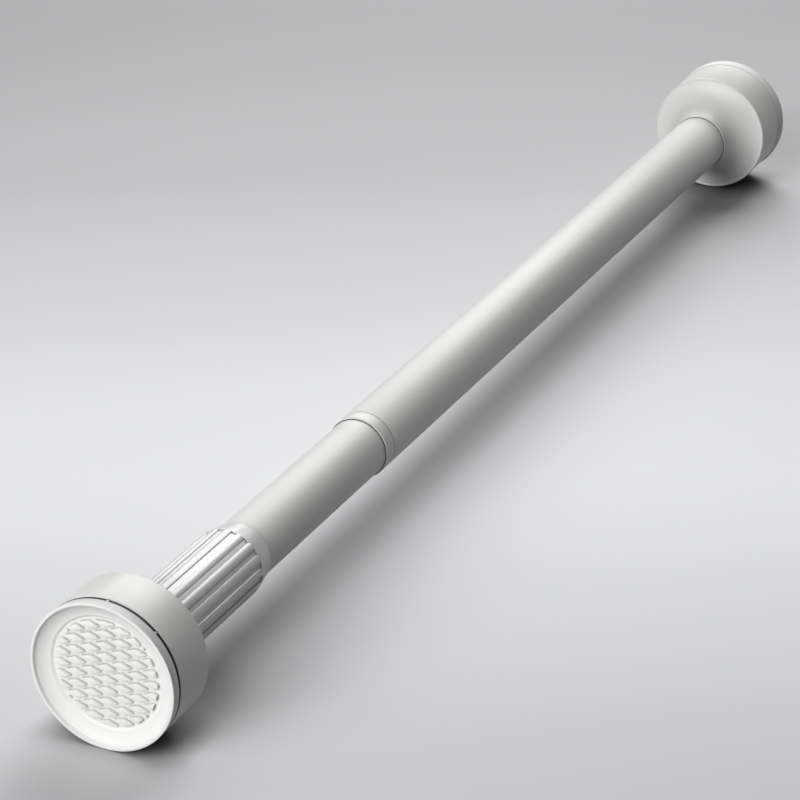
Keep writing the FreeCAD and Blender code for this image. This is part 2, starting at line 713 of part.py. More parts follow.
keep(turnedBody("lock_wedge", [
    (wedgeStart, studBore),
    (wedgeStart, wedgeMouthRadius),
    (sleeveStart, wedgeMouthRadius),
    (wedgeEnd, wedgeTipRadius),
    (wedgeEnd, studBore),
]))

endNutEnd = endNutStart + size["endNutThickness"]
endNut = turnedBody("lock_end_nut", [
    (endNutStart, size["studRadius"] + seatGap),
    (endNutStart, size["endNutRadius"]),
    (endNutEnd, size["endNutRadius"]),
    (endNutEnd, size["studRadius"] + seatGap),
])
endNutFlat = cosineOf(halfTurn / size["endNutSides"]) * size["endNutRadius"]
endNutReach = size["endNutRadius"] + overrun
side = feature(endNut, "Pocket", "lock_end_nut_side",
               [(endNutFlat, -endNutReach), (endNutReach, -endNutReach),
                (endNutReach, endNutReach), (endNutFlat, endNutReach)],
               size["endNutThickness"] + overrun * 2, offset=endNutStart - overrun)
repeated(endNut, "lock_end_nut_sides", side, size["endNutSides"])
keep(endNut)


# Bush in the inner tube's end, with the knob's thrust washer and retaining clip

clipBack = webStart - runningGap
clipFront = clipBack - size["clipThickness"]
neckGrooveRadius = size["neckRadius"] - size["clipGroove"]
bushEnd = tubeEnd + size["bushLength"]
flatBore = size["jackFlat"] + runningGap
flatBoreHalf = rootOf(jackBore * jackBore - flatBore * flatBore)

bush = turnedBody("knob_bush", [
    (neckEnd, axisLine),
    (neckEnd, size["neckRadius"]),
    (clipFront - seatGap, size["neckRadius"]),
    (clipFront - seatGap, neckGrooveRadius),
    (clipBack + seatGap, neckGrooveRadius),
    (clipBack + seatGap, size["neckRadius"]),
    (bushFace, size["neckRadius"]),
    (bushFace, innerTubeRadius - size["flangeStep"]),
    (tubeEnd, innerTubeRadius - size["flangeStep"]),
    (tubeEnd, innerTubeBore - seatGap),
    (bushEnd, innerTubeBore - seatGap),
    (bushEnd, axisLine),
])
feature(bush, "Pocket", "knob_bush_bore",
        [(flatBoreHalf, flatBore), (-flatBoreHalf, flatBore),
         (-flatBoreHalf, -flatBore), (flatBoreHalf, -flatBore)],
        bushEnd + overrun, arcs={1: (jackBore, 1), 3: (jackBore, 1)})
keep(bush, atAdjustableEnd=True)

washerGap = size["washerRoom"] / 2
keep(turnedBody("thrust_washer", [
    (webBack + washerGap, size["neckRadius"] + runningGap),
    (webBack + washerGap, innerTubeRadius - freeGap),
    (bushFace - washerGap, innerTubeRadius - freeGap),
    (bushFace - washerGap, size["neckRadius"] + runningGap),
]), atAdjustableEnd=True)


def openRing(label, front, innerRadius, outerRadius, mouth):
    # Retaining clip: a flat ring with an opening
    ring = turnedBody(label, [
        (front, innerRadius),
        (front, outerRadius),
        (front + size["clipThickness"], outerRadius),
        (front + size["clipThickness"], innerRadius),
    ])
    half = mouth / 2
    reach = outerRadius + overrun
    feature(ring, "Pocket", f"{label}_mouth",
            [(axisLine, -half), (reach, -half), (reach, half), (axisLine, half)],
            size["clipThickness"] + overrun * 2, offset=front - overrun)
    keep(ring, atAdjustableEnd=True)


openRing("retaining_clip", clipFront, neckGrooveRadius + seatGap,
         size["neckClipRadius"], size["neckClipMouth"])


# Knob: ribbed sleeve with a cone that runs down to the inner tube, and its brass nut

knobBore = innerTubeRadius + runningGap
knob = turnedBody("tension_knob", [
    (knobStart, size["knobBoreRadius"]),
    (knobStart, size["knobRadius"]),
    (size["knobRibsEnd"], size["knobRadius"]),
    (size["knobRibsEnd"], size["knobConeStartRadius"]),
    (size["knobConeEnd"], size["knobConeEndRadius"]),
    (size["knobConeEnd"], knobBore),
    (webBack, knobBore),
    (webBack, size["neckRadius"] + runningGap),
    (webStart, size["neckRadius"] + runningGap),
    (webStart, size["knobBoreRadius"]),
])
halfPitch = halfTurn / size["ribCount"]
crownAcross = cosineOf(halfPitch) * size["knobRadius"]
crownUp = sineOf(halfPitch) * size["knobRadius"]
floorHalf = size["grooveWidth"] / 2
ribEdge = size["grooveFloorRadius"] + size["ribEdgeHeight"]
beyond = size["knobRadius"] + overrun
groove = feature(knob, "Pocket", "tension_knob_groove", [
    (size["grooveFloorRadius"], -floorHalf),
    (ribEdge, -floorHalf),
    (crownAcross, -crownUp),
    (beyond, -crownUp),
    (beyond, crownUp),
    (crownAcross, crownUp),
    (ribEdge, floorHalf),
    (size["grooveFloorRadius"], floorHalf),
], size["knobRibsEnd"] - knobStart + overrun, offset=knobStart - overrun, turn=halfPitch,
    arcs={1: (size["ribCurve"], 1), 5: (size["ribCurve"], 1)})
repeated(knob, "tension_knob_grooves", groove, size["ribCount"])
keep(knob, atAdjustableEnd=True)

keep(turnedBody("knob_nut", [
    (nutFace, jackBore),
    (nutFace, size["knobBoreRadius"] - seatGap),
    (nutBack, size["knobBoreRadius"] - seatGap),
    (nutBack, jackBore),
]), atAdjustableEnd=True)


# Jack screw and its stop clip

stopClipFront = bushEnd + size["jackTravel"] + stopGap
stopClipBack = stopClipFront + size["clipThickness"]
jackEnd = stopClipBack + size["jackTail"]
jackGrooveRadius = size["jackRadius"] - size["clipGroove"]
jack = turnedBody("jack_screw", [
    (size["springCupDepth"] + stopGap, axisLine),
    (size["springCupDepth"] + stopGap, size["jackRadius"]),
    (stopClipFront - seatGap, size["jackRadius"]),
    (stopClipFront - seatGap, jackGrooveRadius),
    (stopClipBack + seatGap, jackGrooveRadius),
    (stopClipBack + seatGap, size["jackRadius"]),
    (jackEnd, size["jackRadius"]),
    (jackEnd, axisLine),
])
flatReach = size["jackRadius"] + overrun
flatStart = neckEnd - freeGap
flat = feature(jack, "Pocket", "jack_screw_flat",
               [(-flatReach, size["jackFlat"]), (flatReach, size["jackFlat"]),
                (flatReach, flatReach), (-flatReach, flatReach)],
               jackEnd - flatStart + overrun, offset=flatStart)
repeated(jack, "jack_screw_flats", flat, 2)
keep(jack, atAdjustableEnd=True)

openRing("jack_stop_clip", stopClipFront, jackGrooveRadius + seatGap,
         size["jackClipRadius"], size["jackClipMouth"])


# Adjustable cover and the hub that carries it on the jack screw

cover = turnedBody("adjustable_cover", [
    (coverFront, coverBore),
    (coverFront, size["coverRadius"]),
    (size["coverDepth"], size["coverRadius"]),
    (size["coverDepth"], size["knobRadius"] + freeGap),
    (size["coverDepth"] - size["coverBackWall"], size["knobRadius"] + freeGap),
    (size["coverDepth"] - size["coverBackWall"], coverLedgeRadius),
    (hubBack + seatGap, coverLedgeRadius),
    (hubBack + seatGap, coverBore),
])
rounded(cover, "adjustable_cover_front", size["coverFrontRound"],
        [(coverFront, size["coverRadius"])])
rounded(cover, "adjustable_cover_back", size["coverBackRound"],
        [(size["coverDepth"], size["coverRadius"])])
notchEnd = padBack + size["tabLength"] + size["pressTravel"] + stopGap
tabNotches(cover, "adjustable_cover", coverFront - overrun, notchEnd - coverFront + overrun,
           coverBore - overrun, size["tabRadius"] + runningGap)
keep(cover, atAdjustableEnd=True)


def hookOpening(body, label, gap, catch):
    # Openings that let the snap hooks through
    half = size["hookWidth"] / 2 + gap
    inside = size["hookInnerRadius"] - gap
    outside = size["hookInnerRadius"] + size["hookThickness"] + gap + catch
    opening = feature(body, "Pocket", f"{label}_opening",
                      [(inside, -half), (outside, -half), (outside, half), (inside, half)],
                      hubBack + overrun, turn=size["hookAngle"])
    repeated(body, f"{label}_openings", opening, size["hookCount"])


hub = turnedBody("cover_hub", [
    (hubFront, size["springCupRadius"]),
    (hubFront, coverBore - seatGap),
    (hubBack, coverBore - seatGap),
    (hubBack, size["springCupRadius"] + size["springCupWall"]),
    (cupBack, size["springCupRadius"] + size["springCupWall"]),
    (cupBack, size["jackRadius"] + seatGap),
    (size["springCupDepth"], size["jackRadius"] + seatGap),
    (size["springCupDepth"], size["springCupRadius"]),
])
rounded(hub, "cover_hub_fillet", size["hubFillet"],
        [(hubBack, size["springCupRadius"] + size["springCupWall"])])
hookOpening(hub, "cover_hub", freeGap, axisLine)
keep(hub, atAdjustableEnd=True)


# Black rubber cushion: a disc on the hub, a wall along the bore and a lip over the front edge

cushion = turnedBody("rubber_cushion", [
    (cushionFront, cushionRadius - size["cushionWall"]),
    (cushionFront, size["cushionLipRadius"]),
    (coverFront - seatGap, size["cushionLipRadius"]),
    (coverFront - seatGap, cushionRadius),
    (hubFront - seatGap, cushionRadius),
    (hubFront - seatGap, size["plateBossRadius"] + freeGap),
    (cushionFace, size["plateBossRadius"] + freeGap),
    (cushionFace, cushionRadius - size["cushionWall"]),
])
hookOpening(cushion, "rubber_cushion", stopGap, size["hookCatch"])
tabNotches(cushion, "rubber_cushion", cushionFront - overrun,
           size["cushionLipThickness"] + overrun * 2,
           cushionRadius, size["cushionLipRadius"] + overrun)
keep(cushion, atAdjustableEnd=True)


# Moving pad's inside: plate with boss and hooks, plunger, spring

plate = turnedBody("pad_plate", [
    (padUnderside, axisLine),
    (padUnderside, size["plateRadius"]),
    (plateBack, size["plateRadius"]),
    (plateBack, size["plateBossRadius"]),
    (bossEnd, size["plateBossRadius"]),
    (bossEnd, size["plungerRadius"] + seatGap),
    (bossEnd - size["plungerSpigot"], size["plungerRadius"] + seatGap),
    (bossEnd - size["plungerSpigot"], axisLine),
])
hookHalf = size["hookWidth"] / 2
legOutside = size["hookInnerRadius"] + size["hookThickness"]
catchPlace = hubBack + stopGap / 2
leg = feature(plate, "Pad", "pad_plate_leg",
              [(size["hookInnerRadius"], -hookHalf), (legOutside, -hookHalf),
               (legOutside, hookHalf), (size["hookInnerRadius"], hookHalf)],
              catchPlace + size["hookHeadLength"] - plateBack + seatGap, offset=plateBack - seatGap,
              turn=size["hookAngle"])
repeated(plate, "pad_plate_legs", leg, size["hookCount"])
head = feature(plate, "Pad", "pad_plate_hook",
               [(legOutside - seatGap, -hookHalf), (legOutside + size["hookCatch"], -hookHalf),
                (legOutside + size["hookCatch"], hookHalf), (legOutside - seatGap, hookHalf)],
               size["hookHeadLength"], offset=catchPlace, turn=size["hookAngle"])
repeated(plate, "pad_plate_hooks", head, size["hookCount"])
keep(plate, atAdjustableEnd=True)

headStart = bossEnd + size["plungerLength"] - size["plungerHeadLength"]
headEnd = bossEnd + size["plungerLength"]
domeDepth = size["plungerHeadRound"]
domeWidth = size["plungerHeadRadius"]
domeRadius = (domeWidth * domeWidth + domeDepth * domeDepth) / (domeDepth * 2)
keep(turnedBody("plunger", [
    (bossEnd - size["plungerSpigot"] + seatGap, axisLine),
    (bossEnd - size["plungerSpigot"] + seatGap, size["plungerRadius"]),
    (headStart, size["plungerRadius"]),
    (headStart + size["plungerHeadSlope"], domeWidth),
    (headEnd - domeDepth, domeWidth),
    (headEnd, axisLine),
], {4: (domeRadius, -1)}), atAdjustableEnd=True)

springLength = size["springCupDepth"] - bossEnd - size["springWire"]
helix = doc.addObject("Part::Helix", "pad_spring_path")
helix.setExpression("Pitch", formulaOf(springLength / size["springTurns"]))
helix.setExpression("Height", springLength.formula)
helix.setExpression("Radius", size["springRadius"].formula)
wireRing = doc.addObject("Part::Circle", "pad_spring_wire")
wireRing.setExpression("Radius", formulaOf(size["springWire"] / 2))
wireRing.Placement = FreeCAD.Placement(FreeCAD.Vector(size["springRadius"].value, 0, 0),
                                       FreeCAD.Rotation(FreeCAD.Vector(1, 0, 0), 90))
wireRing.setExpression("Placement.Base.x", size["springRadius"].formula)
spring = doc.addObject("Part::Sweep", "pad_spring")
spring.Label = "pad_spring"
spring.Sections = [wireRing]
spring.Spine = (helix, [])
spring.Solid = True
spring.Frenet = True
alongRod = FreeCAD.Rotation(FreeCAD.Vector(0, 1, 0), -90)
spring.Placement = FreeCAD.Placement(FreeCAD.Vector(0, 0, 0), alongRod)
springBase = overall - bossEnd - size["springWire"] / 2
spring.setExpression("Placement.Base.x", springBase.formula)
doc.recompute()
subParts.append(spring)


# Checks, then one file for each sub-part

doc.recompute()
for item in doc.Objects:
    if "Invalid" in item.State or "Error" in item.State:
        raise ValueError(f"{item.Name} is {item.State}")
for piece in subParts:
    if piece.Shape.isNull() or not piece.Shape.isValid():
        raise ValueError(f"{piece.Label} has no valid shape")
    if piece.Shape.Volume < 1:
        raise ValueError(f"{piece.Label} has no volume")

os.makedirs("parts", exist_ok=True)
for piece in subParts:
    piece.Shape.exportStep(f"parts/{piece.Label}.step")
    print(piece.Label, len(piece.Shape.Solids), round(piece.Shape.Volume, 1))
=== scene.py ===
import json
import math

import bpy
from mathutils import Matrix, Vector


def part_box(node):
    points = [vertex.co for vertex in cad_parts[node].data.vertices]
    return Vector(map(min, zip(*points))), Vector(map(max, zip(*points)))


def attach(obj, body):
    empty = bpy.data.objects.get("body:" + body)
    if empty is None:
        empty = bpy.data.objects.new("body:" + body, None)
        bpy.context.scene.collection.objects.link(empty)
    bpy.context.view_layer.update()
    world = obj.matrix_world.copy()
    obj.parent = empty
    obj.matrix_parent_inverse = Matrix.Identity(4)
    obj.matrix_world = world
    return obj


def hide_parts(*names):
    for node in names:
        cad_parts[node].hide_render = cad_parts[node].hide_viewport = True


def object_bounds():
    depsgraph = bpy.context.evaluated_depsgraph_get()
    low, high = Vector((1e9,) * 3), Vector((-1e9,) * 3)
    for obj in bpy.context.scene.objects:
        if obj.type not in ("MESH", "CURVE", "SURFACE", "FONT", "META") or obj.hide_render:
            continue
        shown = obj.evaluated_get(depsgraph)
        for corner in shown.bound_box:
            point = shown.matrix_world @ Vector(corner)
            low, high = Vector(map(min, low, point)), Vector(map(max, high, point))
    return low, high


# A spring tension rod on a pale studio floor. Metres. The rod lies along X: the fixed
# end's wall is at x = 0 and the adjustable end's wall is at the rod's other end.

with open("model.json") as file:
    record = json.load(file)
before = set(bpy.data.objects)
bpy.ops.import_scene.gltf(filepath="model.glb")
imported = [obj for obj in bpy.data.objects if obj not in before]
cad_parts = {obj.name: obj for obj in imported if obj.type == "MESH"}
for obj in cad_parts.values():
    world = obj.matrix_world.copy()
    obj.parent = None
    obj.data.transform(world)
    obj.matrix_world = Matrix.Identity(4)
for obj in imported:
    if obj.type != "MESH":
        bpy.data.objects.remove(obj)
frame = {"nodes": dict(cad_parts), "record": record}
cadLow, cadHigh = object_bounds()
print("frame loaded:", len(frame["nodes"]), "nodes")

mm = 0.001
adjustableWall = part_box("grip_pad")[1].x   # the adjustable end's wall


def nodeRadius(node):
    low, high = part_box(node)
    return (high.y - low.y) / 2


# Helpers for modelling. A place function gives a ring's x from its distance to a wall.

def clearSelection():
    if bpy.context.object and bpy.context.object.mode != "OBJECT":
        bpy.ops.object.mode_set(mode="OBJECT")
    bpy.ops.object.select_all(action="DESELECT")


def makeActive(piece):
    clearSelection()
    bpy.context.view_layer.objects.active = piece
    piece.select_set(True)


def applyPlace(piece):
    makeActive(piece)
    bpy.ops.object.transform_apply(location=True, rotation=True, scale=True)


def applyModifier(piece, kind, **settings):
    makeActive(piece)
    modifier = piece.modifiers.new(kind.title(), kind)
    for key, value in settings.items():
        setattr(modifier, key, value)
    bpy.ops.object.modifier_apply(modifier=modifier.name)


def softenEdges(piece, width, segments=3, angle=28):
    applyModifier(piece, "BEVEL", width=width, segments=segments, limit_method="ANGLE",
                  angle_limit=math.radians(angle), use_clamp_overlap=True)


def finishShading(piece, angle=30):
    makeActive(piece)
    bpy.ops.object.mode_set(mode="EDIT")
    bpy.ops.mesh.select_all(action="SELECT")
    bpy.ops.mesh.remove_doubles(threshold=2e-6)
    bpy.ops.mesh.normals_make_consistent(inside=False)
    bpy.ops.object.mode_set(mode="OBJECT")
    bpy.ops.object.shade_smooth_by_angle(angle=math.radians(angle))


def joinPieces(name, pieces):
    makeActive(pieces[0])
    for piece in pieces[1:]:
        piece.select_set(True)
    bpy.ops.object.join()
    pieces[0].name = name
    return pieces[0]


def curvedStretch(start, end, radius, side, steps):
    # Points of a short arc between two (place, radius) pairs, without its first point
    first = Vector(start)
    last = Vector(end)
    along = last - first
    reach = math.sqrt(max(radius ** 2 - along.length_squared / 4, 0))
    centre = (first + last) / 2 + Vector((-along.y, along.x)).normalized() * reach * side
    fromAngle = math.atan2(first.y - centre.y, first.x - centre.x)
    toAngle = math.atan2(last.y - centre.y, last.x - centre.x)
    sweep = (toAngle - fromAngle + math.pi) % (2 * math.pi) - math.pi
    points = []
    for step in range(1, steps + 1):
        angle = fromAngle + sweep * step / steps
        points.append((centre.x + math.cos(angle) * radius, centre.y + math.sin(angle) * radius))
    return points


def selectPoints(piece, wanted):
    bpy.ops.mesh.select_all(action="DESELECT")
    bpy.ops.object.mode_set(mode="OBJECT")
    for index in wanted:
        piece.data.vertices[index].select = True
    bpy.ops.object.mode_set(mode="EDIT")


def extrudeRings(profile, place):
    # Extrudes the selected ring on through the profile's other rings
    for (fromDistance, fromRadius), (toDistance, toRadius) in zip(profile, profile[1:]):
        step = place(toDistance) - place(fromDistance)
        bpy.ops.mesh.extrude_edges_move(TRANSFORM_OT_translate={"value": (step, 0, 0)})
        grow = toRadius / fromRadius
        bpy.ops.transform.resize(value=(1, grow, grow), center_override=(place(toDistance), 0, 0))


def turnedPiece(name, profile, place, segments=192, capStart=False, capEnd=False):
    # Lathe work: a circle is extruded and scaled from ring to ring of a (distance, radius) profile
    clearSelection()
    distance, radius = profile[0]
    bpy.ops.mesh.primitive_circle_add(vertices=segments, radius=radius, rotation=(0, math.pi / 2, 0),
                                      location=(place(distance), 0, 0))
    piece = bpy.context.object
    piece.name = name
    applyPlace(piece)
    bpy.ops.object.mode_set(mode="EDIT")
    bpy.ops.mesh.select_all(action="SELECT")
    if capStart:
        bpy.ops.mesh.edge_face_add()
        bpy.ops.mesh.select_all(action="SELECT")
    extrudeRings(profile, place)
    if capEnd:
        bpy.ops.mesh.edge_face_add()
    bpy.ops.object.mode_set(mode="OBJECT")
    return piece


def blockAtAngle(front, back, inside, outside, width, angle, place):
    # Cube between two distances and two radii, turned round the rod's axis by its clock angle
    clearSelection()
    bpy.ops.mesh.primitive_cube_add(size=1, location=(place((front + back) / 2), (inside + outside) / 2, 0))
    block = bpy.context.object
    block.scale = (back - front, outside - inside, width)
    applyPlace(block)
    bpy.ops.object.mode_set(mode="EDIT")
    bpy.ops.mesh.select_all(action="SELECT")
    bpy.ops.transform.rotate(value=-math.radians(angle), orient_axis="X", center_override=(0, 0, 0))
    bpy.ops.object.mode_set(mode="OBJECT")
    return block


def fromAdjustableWall(distance):
    return adjustableWall - distance


def fromFixedWall(distance):
    return distance


# Grip pads: a thin lip, a hollow dish, a small step and a floor with rows of lozenges

padShape = {
    "treadFloorRadius": 20.7 * mm,
    "treadFloorDepth": 4.0 * mm,
    "stepRadius": 21.6 * mm,
    "stepDepth": 3.3 * mm,
    "dishCornerRadius": 26.2 * mm,
    "dishCornerDepth": 1.1 * mm,
    "dishCurve": 9.0 * mm,
    "lipWidth": 0.75 * mm,
    "lipRound": 0.3 * mm,
    "edgeRound": 0.07 * mm,
    "ringTaper": 0.35 * mm,
    "ringWall": 1.4 * mm,
    "shelfDepth": 3.2 * mm,
    "shelfRadius": 24.0 * mm,
    "backDepth": 5.4 * mm,
    "backRadius": 22.0 * mm,
    "ringDepths": {"grip_pad": 4.2 * mm, "fixed_grip_pad": 4.9 * mm},
    "tabWidth": 0.8 * mm,
    "tabRadius": 26.95 * mm,
    "tabThickness": 0.8 * mm,
    "tabRoot": 0.3 * mm,
    "bridgeRadius": 27.25 * mm,
    "bridgeEnd": 5.15 * mm,
    "bridgeWidth": 0.88 * mm,
    "tabRound": 0.08 * mm,
    "tabAngles": (46, 88, 226, 268),
}

treadShape = {
    "pitchAcross": 5.93 * mm,
    "pitchUp": 4.31 * mm,
    "blockWidth": 8.0 * mm,
    "blockHeight": 2.9 * mm,
    "height": 1.2 * mm,
    "root": 0.3 * mm,
    "topShare": 0.93,
    "trimRadius": 19.7 * mm,
    "trimDepth": 4.0 * mm,
    "edgeRound": 0.16 * mm,
}


def treadBlock(name, x, direction):
    # One lozenge: a four-sided cone stump, flattened to its two diagonals
    shape = treadShape
    clearSelection()
    depth = shape["height"] + shape["root"]
    bpy.ops.mesh.primitive_cone_add(vertices=4, radius1=0.5, radius2=0.5 * shape["topShare"], depth=depth,
                                    rotation=(0, direction * math.pi / 2, 0), location=(x, 0, 0))
    block = bpy.context.object
    block.name = name
    applyPlace(block)
    bpy.ops.object.mode_set(mode="EDIT")
    bpy.ops.mesh.select_all(action="SELECT")
    bpy.ops.transform.resize(value=(1, shape["blockWidth"], shape["blockHeight"]), center_override=(x, 0, 0))
    bpy.ops.object.mode_set(mode="OBJECT")
    return block


def treadOfPad(name, place, direction):
    # Rows of blocks on the pad's floor, every other column half a pitch higher, trimmed by a circle
    shape = treadShape
    floor = padShape["treadFloorDepth"]
    middle = floor + (shape["root"] - shape["height"]) / 2
    reach = shape["trimRadius"] + shape["blockWidth"] / 3
    columns = int(reach / shape["pitchAcross"])
    rows = int(reach / shape["pitchUp"]) + 1
    model = treadBlock(f"{name}_model", place(middle), direction)
    blocks = []
    for column in range(-columns, columns + 1):
        across = column * shape["pitchAcross"]
        for row in range(-rows, rows + 1):
            up = (row + (0.5 if column % 2 == 0 else 0)) * shape["pitchUp"]
            if math.hypot(across, up) > reach:
                continue
            block = model.copy()
            block.data = model.data.copy()
            bpy.context.scene.collection.objects.link(block)
            block.location = (0, across, up)
            applyPlace(block)
            blocks.append(block)
    tread = joinPieces(name, blocks)
    bpy.data.objects.remove(model)
    clearSelection()
    bpy.ops.mesh.primitive_cylinder_add(vertices=96, radius=shape["trimRadius"], depth=shape["trimDepth"],
                                        rotation=(0, math.pi / 2, 0), location=(place(middle), 0, 0))
    trimmer = bpy.context.object
    applyPlace(trimmer)
    applyModifier(tread, "BOOLEAN", operation="INTERSECT", object=trimmer, solver="EXACT")
    bpy.data.objects.remove(trimmer)
    softenEdges(tread, shape["edgeRound"], segments=2, angle=25)
    return tread


def guideTab(node, place, angle):
    # Tab that guides the moving pad in its cover, with a white bridge over the dark gap behind the ring
    shape = padShape
    low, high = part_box(node)
    tab = blockAtAngle(shape["ringDepths"][node] - shape["tabRoot"], high.x - low.x,
                       shape["tabRadius"] - shape["tabThickness"], shape["tabRadius"],
                       shape["tabWidth"], angle, place)
    bridge = blockAtAngle(shape["ringDepths"][node] - shape["tabRoot"], shape["bridgeEnd"],
                          shape["tabRadius"] - shape["tabThickness"] / 2, shape["bridgeRadius"],
                          shape["bridgeWidth"], angle, place)
    softenEdges(tab, shape["tabRound"], segments=2)
    softenEdges(bridge, shape["tabRound"], segments=2)
    return joinPieces(f"{node}_tab_{angle}", [tab, bridge])


def gripPad(node, place, direction, withTabs):
    shape = padShape
    rim = nodeRadius(node)
    ringDepth = shape["ringDepths"][node]
    lipOuter = rim - shape["lipRound"]
    stepStart = (shape["treadFloorDepth"], shape["treadFloorRadius"])
    foot = (shape["stepDepth"], shape["stepRadius"])
    dishCorner = (shape["dishCornerDepth"], shape["dishCornerRadius"])
    profile = [stepStart, foot]
    profile += curvedStretch(foot, dishCorner, shape["dishCurve"], 1, 12)
    profile += [(0, lipOuter - shape["lipWidth"]), (0, lipOuter)]
    profile += curvedStretch((0, lipOuter), (shape["lipRound"], rim), shape["lipRound"], -1, 4)
    profile += [
        (ringDepth, rim - shape["ringTaper"]),
        (ringDepth, rim - shape["ringTaper"] - shape["ringWall"]),
        (shape["shelfDepth"], rim - shape["ringTaper"] - shape["ringWall"]),
        (shape["shelfDepth"], shape["shelfRadius"]),
        (shape["backDepth"], shape["backRadius"]),
    ]
    body = turnedPiece(f"{node}_body", profile, place, capStart=True, capEnd=True)
    softenEdges(body, shape["edgeRound"], segments=2, angle=24)
    parts = [body, treadOfPad(f"{node}_tread", place, direction)]
    if withTabs:
        for angle in shape["tabAngles"]:
            parts.append(guideTab(node, place, angle))
    pad = joinPieces(f"{node}_skin", parts)
    finishShading(pad, 32)
    return pad


movingPad = gripPad("grip_pad", fromAdjustableWall, 1, True)
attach(movingPad, "pad")
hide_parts("grip_pad")
fixedPad = gripPad("fixed_grip_pad", fromFixedWall, -1, False)
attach(fixedPad, "outer")
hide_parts("fixed_grip_pad")
print("grip pads modelled")


# Covers at both ends

coverShape = {
    "wall": 1.5 * mm,
    "backWall": 1.6 * mm,
    "ledge": 0.7 * mm,
    "frontRound": 1.0 * mm,
    "backRound": 0.7 * mm,
    "knobHole": 14.3 * mm,
    "hubBack": 11.95 * mm,
    "notchMargin": 1.0 * mm,
    "notchWidth": 1.1 * mm,
    "notchRadius": 27.03 * mm,
    "notchEnd": 6.85 * mm,
    "bridgeNotchRadius": 27.32 * mm,
    "bridgeNotchEnd": 5.75 * mm,
    "bridgeNotchWidth": 1.17 * mm,
}

flareShape = {
    "wall": 1.6 * mm,
    "rimPlace": 26.9 * mm,
    "rimRound": 0.7 * mm,
    "curve": 16.0 * mm,
    "lip": 0.45 * mm,
    "gap": 0.18 * mm,
    "neck": 7.0 * mm,
    "ledge": 0.7 * mm,
    "shelf": 3.2 * mm,
    "plateBack": 8.45 * mm,
}


def adjustableCover():
    shape = coverShape
    low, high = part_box("adjustable_cover")
    front = adjustableWall - high.x
    back = adjustableWall - low.x
    outside = nodeRadius("adjustable_cover")
    bore = outside - shape["wall"]
    frontRound = shape["frontRound"]
    backRound = shape["backRound"]
    profile = [(shape["hubBack"], bore), (front, bore), (front, outside - frontRound)]
    profile += curvedStretch((front, outside - frontRound), (front + frontRound, outside), frontRound, -1, 5)
    profile.append((back - backRound, outside))
    profile += curvedStretch((back - backRound, outside), (back, outside - backRound), backRound, -1, 6)
    profile += [
        (back, shape["knobHole"]),
        (back - shape["backWall"], shape["knobHole"]),
        (back - shape["backWall"], bore - shape["ledge"]),
        (shape["hubBack"], bore - shape["ledge"]),
        (shape["hubBack"], bore),
    ]
    cover = turnedPiece("adjustable_cover_skin", profile, fromAdjustableWall)
    finishShading(cover)
    margin = shape["notchMargin"]
    for angle in padShape["tabAngles"]:
        for kind in ("bridgeNotch", "notch"):
            notch = blockAtAngle(front - margin, shape[f"{kind}End"], bore - margin, shape[f"{kind}Radius"],
                                 shape[f"{kind}Width"], angle, fromAdjustableWall)
            applyModifier(cover, "BOOLEAN", operation="DIFFERENCE", object=notch, solver="EXACT")
            bpy.data.objects.remove(notch)
    finishShading(cover)
    return cover


def fixedCover():
    shape = flareShape
    low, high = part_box("fixed_cover")
    outside = nodeRadius("fixed_cover")
    bore = outside - shape["wall"]
    tubeGap = nodeRadius("outer_tube") + shape["gap"]
    rimRound = shape["rimRound"]
    flareInside = shape["rimPlace"] - shape["wall"]
    ledge = bore - shape["ledge"]
    rimCorner = (shape["rimPlace"], outside)
    lip = (high.x, tubeGap + shape["lip"])
    flare = curvedStretch(rimCorner, lip, shape["curve"], 1, 40)
    offRim = [point for point in flare if math.dist(point, rimCorner) > rimRound]
    profile = [(low.x, bore), (low.x, outside), (shape["rimPlace"] - rimRound, outside)]
    profile += curvedStretch(profile[-1], offRim[0], rimRound, -1, 8)
    profile += offRim[1:]
    profile += [(high.x, tubeGap), (high.x - shape["neck"], tubeGap)]
    profile += curvedStretch(profile[-1], (flareInside, ledge - shape["shelf"]), shape["curve"], -1, 16)
    profile += [(flareInside, ledge), (shape["plateBack"], ledge), (shape["plateBack"], bore), (low.x, bore)]
    cover = turnedPiece("fixed_cover_skin", profile, fromFixedWall)
    finishShading(cover, 35)
    return cover


movingCover = adjustableCover()
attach(movingCover, "jack")
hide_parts("adjustable_cover")
flaredCover = fixedCover()
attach(flaredCover, "outer")
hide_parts("fixed_cover")


# Black cushion: the CAD piece with a slightly fuller lip, which fills the gap behind the pad

cushionShape = {
    "lipRadius": 27.3 * mm,
    "lipStarts": 26.5 * mm,
}


def fullerCushion():
    shape = cushionShape
    source = frame["nodes"]["rubber_cushion"]
    cushion = source.copy()
    cushion.data = source.data.copy()
    cushion.name = "rubber_cushion_skin"
    bpy.context.scene.collection.objects.link(cushion)
    finishShading(cushion, 30)
    grow = shape["lipRadius"] / nodeRadius("rubber_cushion")
    lip = [vertex.index for vertex in cushion.data.vertices
           if math.hypot(vertex.co.y, vertex.co.z) > shape["lipStarts"]]
    makeActive(cushion)
    bpy.ops.object.mode_set(mode="EDIT")
    bpy.ops.mesh.select_mode(type="VERT")
    selectPoints(cushion, lip)
    bpy.ops.transform.resize(value=(1, grow, grow), center_override=(0, 0, 0))
    bpy.ops.object.mode_set(mode="OBJECT")
    return cushion


cushion = fullerCushion()
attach(cushion, "jack")
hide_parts("rubber_cushion")
print("covers and cushion modelled")


# Knob: ribs with rounded backs, then a cone down to the inner tube

